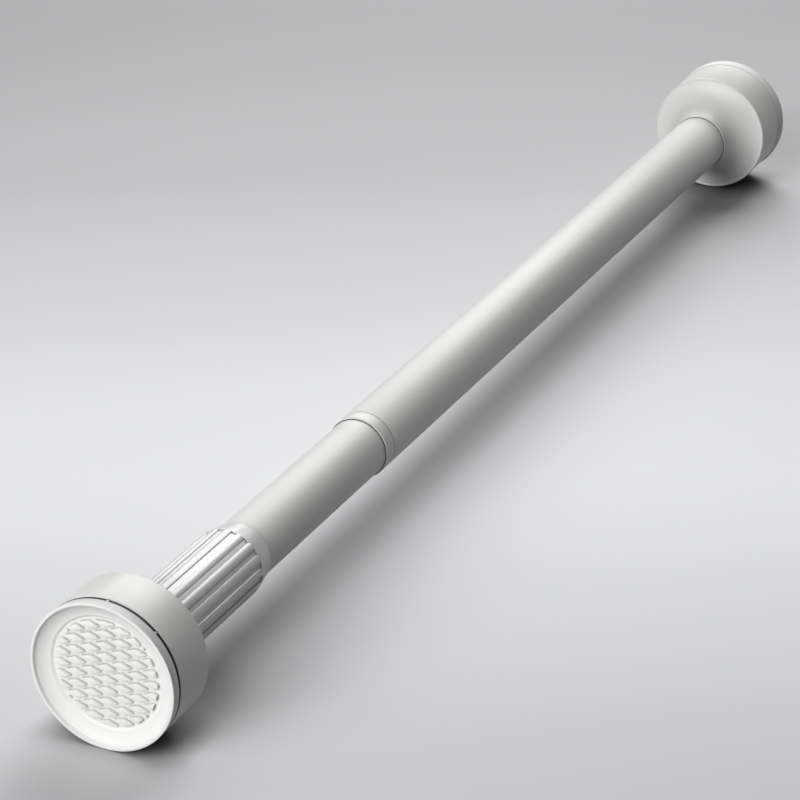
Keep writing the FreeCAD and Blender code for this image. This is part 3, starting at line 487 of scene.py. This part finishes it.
knobShape = {
    "ribs": 16,
    "stepsInPitch": 24,
    "crown": 13.9 * mm,
    "ribCurve": 3.0 * mm,
    "grooveFloor": 13.15 * mm,
    "grooveHalf": 0.875 * mm,
    "ribsEnd": 87.9 * mm,
    "coneStart": 13.75 * mm,
    "coneEnd": 12.15 * mm,
    "coneRound": 0.5 * mm,
    "coneStartDrop": 0.6,
    "coneEndDrop": 0.9,
    "tubeBore": 11.9 * mm,
    "hiddenBore": 12.1 * mm,
    "webStart": 39.8 * mm,
    "webEnd": 43.8 * mm,
    "webBore": 7.58 * mm,
}


def ribSection(step):
    # Radius of the ribbed section at one step of its pitch; a rib's crown is at step 0
    shape = knobShape
    pitch = 2 * math.pi / shape["ribs"]
    fromCrown = min(step, shape["stepsInPitch"] - step) * pitch / shape["stepsInPitch"]
    if (pitch / 2 - fromCrown) * shape["grooveFloor"] < shape["grooveHalf"]:
        return shape["grooveFloor"]
    centre = shape["crown"] - shape["ribCurve"]
    height = shape["ribCurve"] ** 2 - (centre * math.sin(fromCrown)) ** 2
    return centre * math.cos(fromCrown) + math.sqrt(height)


def scaleByStep(piece, place, fromRadius, toRadius):
    # Gives each step of the selected ring its own radius, all the ribs at once
    shape = knobShape
    bpy.ops.object.mode_set(mode="OBJECT")
    ring = [vertex.index for vertex in piece.data.vertices if vertex.select]
    turns = {}
    for index in ring:
        point = piece.data.vertices[index].co
        share = math.atan2(point.z, point.y) / (2 * math.pi)
        turns[index] = round(share * shape["ribs"] * shape["stepsInPitch"]) % shape["stepsInPitch"]
    bpy.ops.object.mode_set(mode="EDIT")
    for step in range(shape["stepsInPitch"]):
        grow = toRadius(step) / fromRadius(step)
        if abs(grow - 1) > 1e-6:
            selectPoints(piece, [index for index in ring if turns[index] == step])
            bpy.ops.transform.resize(value=(1, grow, grow), center_override=(place, 0, 0))
    selectPoints(piece, ring)


def tensionKnob():
    shape = knobShape
    low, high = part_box("tension_knob")
    start = adjustableWall - high.x
    end = adjustableWall - low.x
    ribsEnd = shape["ribsEnd"]
    place = fromAdjustableWall
    clearSelection()
    bpy.ops.mesh.primitive_circle_add(vertices=shape["ribs"] * shape["stepsInPitch"],
                                      radius=shape["crown"], rotation=(0, math.pi / 2, 0),
                                      location=(place(start), 0, 0))
    knob = bpy.context.object
    knob.name = "tension_knob_skin"
    applyPlace(knob)
    bpy.ops.object.mode_set(mode="EDIT")
    bpy.ops.mesh.select_mode(type="VERT")
    bpy.ops.mesh.select_all(action="SELECT")
    scaleByStep(knob, place(start), lambda step: shape["crown"], ribSection)
    bpy.ops.mesh.extrude_edges_move(TRANSFORM_OT_translate={"value": (start - ribsEnd, 0, 0)})
    bpy.ops.mesh.extrude_edges_move(TRANSFORM_OT_translate={"value": (0, 0, 0)})
    scaleByStep(knob, place(ribsEnd), ribSection, lambda step: shape["coneStart"])
    slope = (shape["coneStart"] - shape["coneEnd"]) / (end - ribsEnd)
    coneRound = shape["coneRound"]
    extrudeRings([
        (ribsEnd, shape["coneStart"]),
        (ribsEnd + coneRound, shape["coneStart"] - coneRound * slope * shape["coneStartDrop"]),
        (end - coneRound, shape["coneEnd"] + coneRound * slope * shape["coneEndDrop"]),
        (end, shape["coneEnd"]),
        (end, shape["tubeBore"]),
        (shape["webEnd"], shape["tubeBore"]),
        (shape["webEnd"], shape["webBore"]),
        (shape["webStart"], shape["webBore"]),
        (shape["webStart"], shape["hiddenBore"]),
        (start, shape["hiddenBore"]),
    ], place)
    bpy.ops.mesh.extrude_edges_move(TRANSFORM_OT_translate={"value": (0, 0, 0)})
    scaleByStep(knob, place(start), lambda step: shape["hiddenBore"], ribSection)
    bpy.ops.object.mode_set(mode="OBJECT")
    finishShading(knob, 26)
    return knob


knob = tensionKnob()
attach(knob, "knob")
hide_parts("tension_knob")
print("knob modelled")


# Tubes and collar

tubeShape = {
    "wall": 0.6 * mm,
    "spigotWall": 0.3 * mm,
    "spigotDepth": 4.0 * mm,
    "seam": 0.3 * mm,
    "mouth": 0.4 * mm,
    "seat": 0.05 * mm,
    "chamfer": 0.4 * mm,
    "collarBore": 11.88 * mm,
    "innerEdge": 0.08 * mm,
    "outerEdge": 0.05 * mm,
    "collarEdge": 0.05 * mm,
}


def plainTube(node, body):
    shape = tubeShape
    low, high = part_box(node)
    outside = nodeRadius(node)
    bore = outside - shape["wall"]
    profile = [(low.x, bore), (low.x, outside), (high.x, outside), (high.x, bore), (low.x, bore)]
    tube = turnedPiece(f"{node}_skin", profile, fromFixedWall)
    softenEdges(tube, shape["innerEdge"], segments=2)
    finishShading(tube)
    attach(tube, body)
    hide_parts(node)
    return tube


def tubeCollar():
    shape = tubeShape
    low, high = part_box("tube_collar")
    outside = nodeRadius("tube_collar")
    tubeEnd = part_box("outer_tube")[1].x
    spigot = shape["collarBore"] + shape["spigotWall"]
    profile = [
        (low.x, shape["collarBore"]),
        (low.x, spigot),
        (tubeEnd + shape["seam"], spigot),
        (tubeEnd + shape["seam"], outside - shape["seat"]),
        (tubeEnd + shape["seam"] + shape["seat"], outside),
        (high.x - shape["chamfer"], outside),
        (high.x, outside - shape["chamfer"]),
        (high.x, shape["collarBore"] + shape["mouth"]),
        (high.x - shape["mouth"] * 2, shape["collarBore"]),
        (low.x, shape["collarBore"]),
    ]
    collar = turnedPiece("tube_collar_skin", profile, fromFixedWall)
    softenEdges(collar, shape["collarEdge"], segments=2, angle=40)
    finishShading(collar)
    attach(collar, "outer")
    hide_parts("tube_collar")
    return collar


def outerTube():
    # The end at the collar is thinned on its inside, where the collar's spigot goes in
    shape = tubeShape
    low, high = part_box("outer_tube")
    outside = nodeRadius("outer_tube")
    bore = outside - shape["wall"]
    spigot = shape["collarBore"] + shape["spigotWall"] + shape["seat"]
    spigotStart = high.x - shape["spigotDepth"] - shape["seat"]
    profile = [(low.x, bore), (low.x, outside), (high.x, outside), (high.x, spigot),
               (spigotStart, spigot), (spigotStart, bore), (low.x, bore)]
    tube = turnedPiece("outer_tube_skin", profile, fromFixedWall)
    softenEdges(tube, shape["outerEdge"], segments=2)
    finishShading(tube)
    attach(tube, "outer")
    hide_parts("outer_tube")
    return tube


innerTube = plainTube("inner_tube", "inner")
bigTube = outerTube()
collar = tubeCollar()
print("tubes and collar modelled")


# Finishes: shared groups first, then one material for each finish

def newGroup(name, inputs, outputs):
    group = bpy.data.node_groups.new(name, "ShaderNodeTree")
    for label, kind, value in inputs:
        socket = group.interface.new_socket(name=label, in_out="INPUT", socket_type=kind)
        socket.default_value = value
    for label, kind in outputs:
        group.interface.new_socket(name=label, in_out="OUTPUT", socket_type=kind)
    return group, group.nodes.new("NodeGroupInput"), group.nodes.new("NodeGroupOutput")


def surfaceGrainGroup():
    # Fine moulded or sprayed grain with a slower waviness under it, as one height
    group, source, target = newGroup("surfaceGrain", [
        ("Grain Size", "NodeSocketFloat", 1800.0),
        ("Wave Size", "NodeSocketFloat", 90.0),
        ("Wave Share", "NodeSocketFloat", 0.3),
    ], [("Height", "NodeSocketFloat")])
    nodes = group.nodes
    links = group.links
    place = nodes.new("ShaderNodeTexCoord")
    grain = nodes.new("ShaderNodeTexNoise")
    grain.inputs["Detail"].default_value = 2.0
    wave = nodes.new("ShaderNodeTexNoise")
    wave.inputs["Detail"].default_value = 3.0
    mixed = nodes.new("ShaderNodeMix")
    for noise, label in ((grain, "Grain Size"), (wave, "Wave Size")):
        links.new(place.outputs["Object"], noise.inputs["Vector"])
        links.new(source.outputs[label], noise.inputs["Scale"])
    links.new(source.outputs["Wave Share"], mixed.inputs[0])
    links.new(grain.outputs["Fac"], mixed.inputs[2])
    links.new(wave.outputs["Fac"], mixed.inputs[3])
    links.new(mixed.outputs[0], target.inputs["Height"])
    return group


def toneShiftGroup():
    # A slow change between two tones and two roughnesses over the surface
    group, source, target = newGroup("toneShift", [
        ("Tone", "NodeSocketColor", (0.8, 0.8, 0.8, 1)),
        ("Other Tone", "NodeSocketColor", (0.75, 0.75, 0.75, 1)),
        ("Roughness", "NodeSocketFloat", 0.4),
        ("Other Roughness", "NodeSocketFloat", 0.5),
        ("Size", "NodeSocketFloat", 30.0),
    ], [("Color", "NodeSocketColor"), ("Roughness", "NodeSocketFloat")])
    nodes = group.nodes
    links = group.links
    place = nodes.new("ShaderNodeTexCoord")
    noise = nodes.new("ShaderNodeTexNoise")
    noise.inputs["Detail"].default_value = 4.0
    links.new(place.outputs["Object"], noise.inputs["Vector"])
    links.new(source.outputs["Size"], noise.inputs["Scale"])
    tones = nodes.new("ShaderNodeMix")
    tones.data_type = "RGBA"
    links.new(noise.outputs["Fac"], tones.inputs[0])
    links.new(source.outputs["Tone"], tones.inputs[6])
    links.new(source.outputs["Other Tone"], tones.inputs[7])
    rough = nodes.new("ShaderNodeMix")
    links.new(noise.outputs["Fac"], rough.inputs[0])
    links.new(source.outputs["Roughness"], rough.inputs[2])
    links.new(source.outputs["Other Roughness"], rough.inputs[3])
    links.new(tones.outputs[2], target.inputs["Color"])
    links.new(rough.outputs[0], target.inputs["Roughness"])
    return group


surfaceGrain = surfaceGrainGroup()
toneShift = toneShiftGroup()

# The painted shade values darken a surface's colour within their reach of another surface, standing in for
# the shade that falls in a seam
paintedShade = {
    "samples": 8,
    "openFrom": 0.25,
    "openTo": 0.85,
}

# A finish's shade tone and reach set the painted shade in its seams, grooves and the foot of the tread's
# walls
finishes = {
    "softWhiteGrip": {
        "tone": (0.80, 0.795, 0.785), "otherTone": (0.77, 0.765, 0.755),
        "roughness": (0.50, 0.58), "toneSize": 45, "grainSize": 1500, "waveSize": 160, "waveShare": 0.25,
        "bump": 0.06, "bumpDistance": 0.00012, "paintedShadeTone": (0.18, 0.18, 0.18), "paintedShadeReach": 0.0010,
    },
    "satinWhiteCover": {
        "tone": (0.79, 0.785, 0.77), "otherTone": (0.765, 0.76, 0.745),
        "roughness": (0.36, 0.44), "toneSize": 30, "grainSize": 2600, "waveSize": 120, "waveShare": 0.2,
        "bump": 0.05, "bumpDistance": 0.00008, "paintedShadeTone": (0.10, 0.10, 0.10), "paintedShadeReach": 0.0008,
    },
    "glossyWhiteKnob": {
        "tone": (0.81, 0.805, 0.80), "otherTone": (0.79, 0.785, 0.78),
        "roughness": (0.30, 0.36), "toneSize": 40, "grainSize": 2200, "waveSize": 60, "waveShare": 0.5,
        "bump": 0.03, "bumpDistance": 0.0001, "coat": 0.15, "coatRoughness": 0.22,
        "paintedShadeTone": (0.12, 0.12, 0.12), "paintedShadeReach": 0.0012,
    },
    "paintedTube": {
        "tone": (0.78, 0.775, 0.76), "otherTone": (0.765, 0.76, 0.745),
        "roughness": (0.44, 0.50), "toneSize": 22, "grainSize": 1300, "waveSize": 320, "waveShare": 0.45,
        "bump": 0.06, "bumpDistance": 0.0001, "paintedShadeTone": (0.10, 0.10, 0.10), "paintedShadeReach": 0.0008,
    },
    "naturalPlastic": {
        "tone": (0.66, 0.65, 0.60), "otherTone": (0.60, 0.59, 0.54),
        "roughness": (0.40, 0.50), "toneSize": 60, "grainSize": 1800, "waveSize": 140, "waveShare": 0.3,
        "bump": 0.08, "bumpDistance": 0.0001,
    },
    "blackRubber": {
        "tone": (0.018, 0.018, 0.02), "otherTone": (0.03, 0.03, 0.032),
        "roughness": (0.55, 0.7), "toneSize": 80, "grainSize": 1400, "waveSize": 200, "waveShare": 0.3,
        "bump": 0.15, "bumpDistance": 0.0001,
    },
    "plainSteel": {
        "tone": (0.58, 0.58, 0.59), "otherTone": (0.50, 0.50, 0.51), "metallic": 1.0,
        "roughness": (0.25, 0.38), "toneSize": 120, "grainSize": 2400, "waveSize": 260, "waveShare": 0.3,
        "bump": 0.06, "bumpDistance": 0.00006,
    },
    "turnedBrass": {
        "tone": (0.76, 0.58, 0.28), "otherTone": (0.66, 0.49, 0.22), "metallic": 1.0,
        "roughness": (0.22, 0.34), "toneSize": 110, "grainSize": 2400, "waveSize": 260, "waveShare": 0.3,
        "bump": 0.06, "bumpDistance": 0.00006,
    },
}


def finishMaterial(name, values):
    material = bpy.data.materials.new(name)
    material.use_nodes = True
    nodes = material.node_tree.nodes
    links = material.node_tree.links
    shader = nodes["Principled BSDF"]
    tones = nodes.new("ShaderNodeGroup")
    tones.node_tree = toneShift
    tones.inputs["Tone"].default_value = (*values["tone"], 1)
    tones.inputs["Other Tone"].default_value = (*values["otherTone"], 1)
    tones.inputs["Roughness"].default_value = values["roughness"][0]
    tones.inputs["Other Roughness"].default_value = values["roughness"][1]
    tones.inputs["Size"].default_value = values["toneSize"]
    grain = nodes.new("ShaderNodeGroup")
    grain.node_tree = surfaceGrain
    grain.inputs["Grain Size"].default_value = values["grainSize"]
    grain.inputs["Wave Size"].default_value = values["waveSize"]
    grain.inputs["Wave Share"].default_value = values["waveShare"]
    bump = nodes.new("ShaderNodeBump")
    bump.inputs["Strength"].default_value = values["bump"]
    bump.inputs["Distance"].default_value = values["bumpDistance"]
    # Painted shade: the base colour is darkened towards the shade tone where an ambient-occlusion node finds
    # other surfaces close by
    if "paintedShadeTone" in values:
        hollow = nodes.new("ShaderNodeAmbientOcclusion")
        hollow.samples = paintedShade["samples"]
        hollow.inputs["Distance"].default_value = values["paintedShadeReach"]
        shade = nodes.new("ShaderNodeMapRange")
        shade.inputs["From Min"].default_value = paintedShade["openFrom"]
        shade.inputs["From Max"].default_value = paintedShade["openTo"]
        darkened = nodes.new("ShaderNodeMix")
        darkened.data_type = "RGBA"
        darkened.inputs[6].default_value = (*values["paintedShadeTone"], 1)
        links.new(hollow.outputs["AO"], shade.inputs["Value"])
        links.new(shade.outputs["Result"], darkened.inputs[0])
        links.new(tones.outputs["Color"], darkened.inputs[7])
        links.new(darkened.outputs[2], shader.inputs["Base Color"])
    else:
        links.new(tones.outputs["Color"], shader.inputs["Base Color"])
    links.new(tones.outputs["Roughness"], shader.inputs["Roughness"])
    links.new(grain.outputs["Height"], bump.inputs["Height"])
    links.new(bump.outputs["Normal"], shader.inputs["Normal"])
    shader.inputs["Metallic"].default_value = values.get("metallic", 0.0)
    shader.inputs["Coat Weight"].default_value = values.get("coat", 0.0)
    shader.inputs["Coat Roughness"].default_value = values.get("coatRoughness", 0.1)
    return material


materials = {name: finishMaterial(name, values) for name, values in finishes.items()}

finishOfSlot = {
    "white_grip": "softWhiteGrip",
    "white_cover": "satinWhiteCover",
    "white_knob": "glossyWhiteKnob",
    "painted_tube": "paintedTube",
    "natural_plastic": "naturalPlastic",
    "black_rubber": "blackRubber",
    "plain_steel": "plainSteel",
    "brass": "turnedBrass",
}

slotOfNode = {part["node"]: part["material_slot"] for part in frame["record"]["subparts"]}


def paint(piece, slotName):
    piece.data.materials.clear()
    piece.data.materials.append(materials[finishOfSlot[slotName]])


for node, piece in frame["nodes"].items():
    paint(piece, slotOfNode[node])
for piece, slotName in (
    (movingPad, "white_grip"), (fixedPad, "white_grip"), (movingCover, "white_cover"),
    (flaredCover, "white_cover"), (knob, "white_knob"), (innerTube, "painted_tube"),
    (bigTube, "painted_tube"), (collar, "white_cover"), (cushion, "black_rubber"),
):
    paint(piece, slotName)
print("finishes done")


# Camera at the photo's angle

cameraPlace = {
    "location": (1.3566, 0.4785, 0.5286),
    "looks": (-0.8123, -0.393, -0.4305),
    "focalPixels": 3121.3,
    "imagePixels": 800,
    "sensor": 36.0,
    "clip": (0.05, 60.0),
}

bpy.ops.object.camera_add(location=cameraPlace["location"])
camera = bpy.context.object
camera.rotation_euler = Vector(cameraPlace["looks"]).to_track_quat("-Z", "Y").to_euler()
camera.data.sensor_width = cameraPlace["sensor"]
camera.data.lens = cameraPlace["focalPixels"] / cameraPlace["imagePixels"] * cameraPlace["sensor"]
camera.data.clip_start, camera.data.clip_end = cameraPlace["clip"]
bpy.context.scene.camera = camera


# Floor and lamps. The floor's colour runs from near to far along the camera's view as painted light,
# brightest in a band a little past the near edge and darker far off, and a short painted contact shadow
# darkens it where the pads stand on it.

studio = {
    "floorSize": 12.0,
    "floorMiddle": (0.3, 0.0),
    "floorRoughness": 0.6,
    "floorShine": 0.2,
    # Painted light: the floor's colour is lighter or darker with distance from the camera, standing in for
    # how the lamps' light falls on it
    "floorPaintedLightTones": (
        (0.0, 0.62), (0.09, 0.69), (0.2, 0.79), (0.3, 0.835), (0.445, 0.735),
        (0.65, 0.56), (0.785, 0.485), (1.0, 0.40),
    ),
    "floorTint": (0.995, 1.0, 1.02),
    "floorNear": -0.56,
    "floorFar": 0.24,
    "floorOffCamera": 0.5,
    # Painted contact shadow: the floor's colour is darkened towards this tone close to the object
    "contactShadowTone": 0.35,
    "contactReach": 0.014,
    "contactOpen": 0.3,
    "worldTone": (0.95, 0.97, 1.0),
    "worldStrength": 0.01,
    "middle": (0.35, 0, 0),
    "softboxes": {
        "back_softbox": {"place": (-1.062, -0.1, 1.271), "size": 1.0, "power": 20.0},
        "front_softbox": {"place": (1.762, -0.1, 1.271), "size": 1.0, "power": 11.0},
        "left_front_softbox": {"place": (1.803, -0.839, 0.892), "size": 0.8, "power": 7.5},
        "left_back_softbox": {"place": (-1.103, -0.839, 0.892), "size": 0.8, "power": 9.0},
        "face_softbox": {"place": (2.6, -0.5, 0.75), "size": 0.9, "power": 27.0},
    },
}


def studioFloor():
    clearSelection()
    bpy.ops.mesh.primitive_plane_add(size=studio["floorSize"], location=(*studio["floorMiddle"], cadLow.z))
    floor = bpy.context.object
    floor.name = "studio_floor"
    applyPlace(floor)
    material = bpy.data.materials.new("paleFloor")
    material.use_nodes = True
    nodes = material.node_tree.nodes
    links = material.node_tree.links
    shader = nodes["Principled BSDF"]
    shader.inputs["Roughness"].default_value = studio["floorRoughness"]
    shader.inputs["Specular IOR Level"].default_value = studio["floorShine"]
    # Painted light: the ramp gives the floor's colour a lighter band and a darker far end along the camera's
    # view
    place = nodes.new("ShaderNodeTexCoord")
    away = nodes.new("ShaderNodeVectorMath")
    away.operation = "DOT_PRODUCT"
    looks = Vector((cameraPlace["looks"][0], cameraPlace["looks"][1], 0)).normalized()
    away.inputs[1].default_value = looks
    span = nodes.new("ShaderNodeMapRange")
    span.inputs["From Min"].default_value = studio["floorNear"]
    span.inputs["From Max"].default_value = studio["floorFar"]
    ramp = nodes.new("ShaderNodeValToRGB")
    ramp.color_ramp.interpolation = "CARDINAL"
    for number, (position, tone) in enumerate(studio["floorPaintedLightTones"]):
        if number < 2:
            stop = ramp.color_ramp.elements[number]
            stop.position = position
        else:
            stop = ramp.color_ramp.elements.new(position)
        stop.color = (*(tone * tint for tint in studio["floorTint"]), 1)
    links.new(place.outputs["Object"], away.inputs[0])
    links.new(away.outputs["Value"], span.inputs["Value"])
    links.new(span.outputs["Result"], ramp.inputs["Fac"])
    ray = nodes.new("ShaderNodeLightPath")
    seen = nodes.new("ShaderNodeMath")
    seen.operation = "MAXIMUM"
    links.new(ray.outputs["Is Camera Ray"], seen.inputs[0])
    links.new(ray.outputs["Is Glossy Ray"], seen.inputs[1])
    seenOrThrough = nodes.new("ShaderNodeMath")
    seenOrThrough.operation = "MAXIMUM"
    links.new(seen.outputs["Value"], seenOrThrough.inputs[0])
    links.new(ray.outputs["Is Transmission Ray"], seenOrThrough.inputs[1])
    level = nodes.new("ShaderNodeMapRange")
    level.inputs["To Min"].default_value = studio["floorOffCamera"]
    links.new(seenOrThrough.outputs["Value"], level.inputs["Value"])
    # Painted contact shadow: an ambient-occlusion node darkens the floor's colour close to the pads and the
    # rest of the object
    contact = nodes.new("ShaderNodeAmbientOcclusion")
    contact.samples = paintedShade["samples"]
    contact.inputs["Distance"].default_value = studio["contactReach"]
    contactShade = nodes.new("ShaderNodeMapRange")
    contactShade.inputs["From Min"].default_value = studio["contactOpen"]
    contactShade.inputs["To Min"].default_value = studio["contactShadowTone"]
    links.new(contact.outputs["AO"], contactShade.inputs["Value"])
    levelAndContact = nodes.new("ShaderNodeMath")
    levelAndContact.operation = "MULTIPLY"
    links.new(level.outputs["Result"], levelAndContact.inputs[0])
    links.new(contactShade.outputs["Result"], levelAndContact.inputs[1])
    scaled = nodes.new("ShaderNodeVectorMath")
    scaled.operation = "SCALE"
    links.new(ramp.outputs["Color"], scaled.inputs[0])
    links.new(levelAndContact.outputs["Value"], scaled.inputs["Scale"])
    links.new(scaled.outputs["Vector"], shader.inputs["Base Color"])
    floor.data.materials.append(material)


def softbox(name, place, size, power, target=studio["middle"]):
    bpy.ops.object.light_add(type="AREA", location=place)
    lamp = bpy.context.object
    lamp.name = name
    lamp.data.shape = "SQUARE"
    lamp.data.size = size
    lamp.data.energy = power
    lamp.visible_camera = False
    lamp.rotation_euler = (Vector(target) - Vector(place)).to_track_quat("-Z", "Y").to_euler()


studioFloor()
for lampName, settings in studio["softboxes"].items():
    softbox(lampName, **settings)
world = bpy.data.worlds.new("studioWorld")
bpy.context.scene.world = world
world.use_nodes = True
background = world.node_tree.nodes["Background"]
background.inputs["Color"].default_value = (*studio["worldTone"], 1)
background.inputs["Strength"].default_value = studio["worldStrength"]
bpy.context.scene.view_settings.view_transform = "Standard"
print("studio lit")
